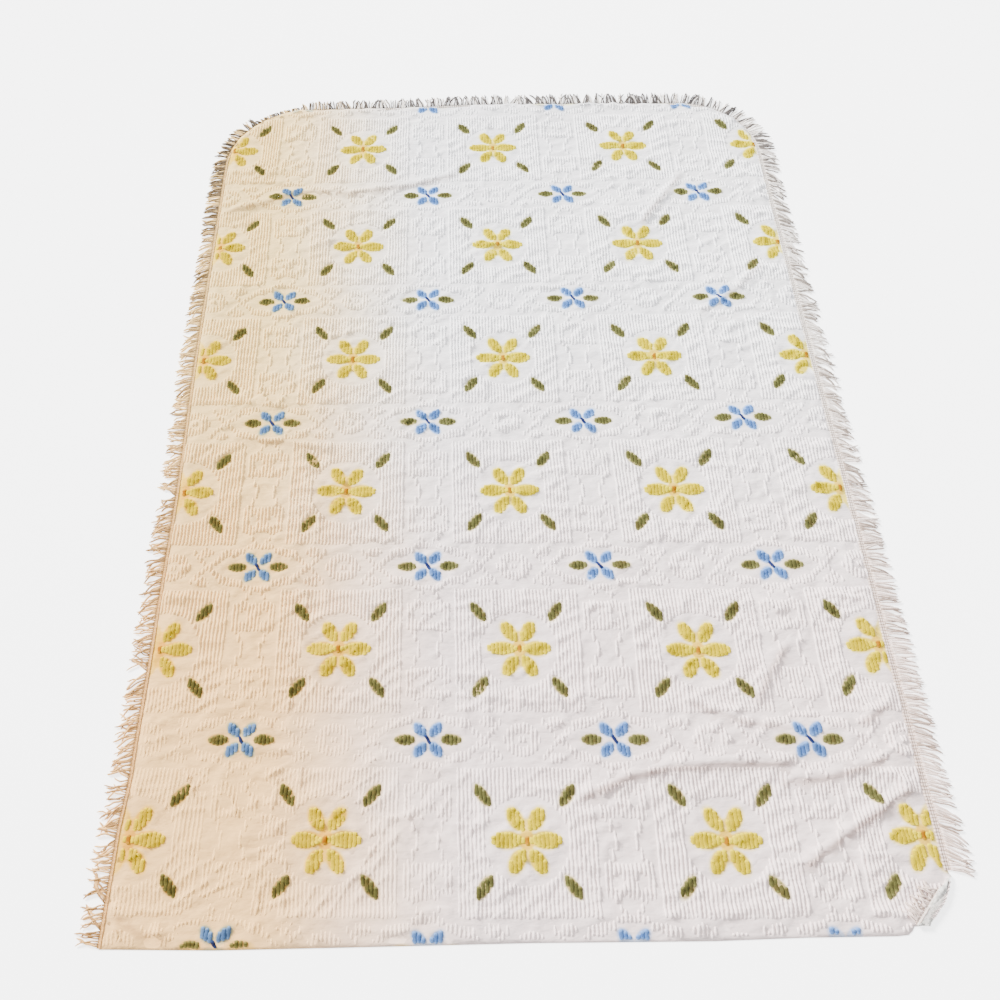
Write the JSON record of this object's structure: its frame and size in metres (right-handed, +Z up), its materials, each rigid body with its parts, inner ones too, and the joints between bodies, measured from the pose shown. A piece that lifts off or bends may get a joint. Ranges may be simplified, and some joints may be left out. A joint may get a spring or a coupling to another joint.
{
  "type": "chenille bedspread",
  "caption": "Tufted cotton chenille bedspread with a straight head hem, rounded foot corners and fringe on three sides, laid flat face up with one corner turned over.",
  "frame": {"origin": "centre of the whole spread in plan, on the floor it lies on", "axes": "+Y from the straight head hem towards the rounded foot, +X to the right as seen from the head hem, +Z up from the floor, with the tufted face up"},
  "size_m": [2.0118, 2.801, 0.013],
  "materials": {
    "chenille_cloth": "matt off-white cotton with cut pile",
    "fringe_cotton": "matt natural cotton yarn"
  },
  "bodies": {
    "root": {"spread": "chenille_cloth", "fringe_left": "fringe_cotton", "fringe_foot_left": "fringe_cotton", "fringe_foot": "fringe_cotton", "fringe_foot_right": "fringe_cotton", "fringe_right": "fringe_cotton", "fringe_turned": "fringe_cotton"}
  },
  "joints": []
}
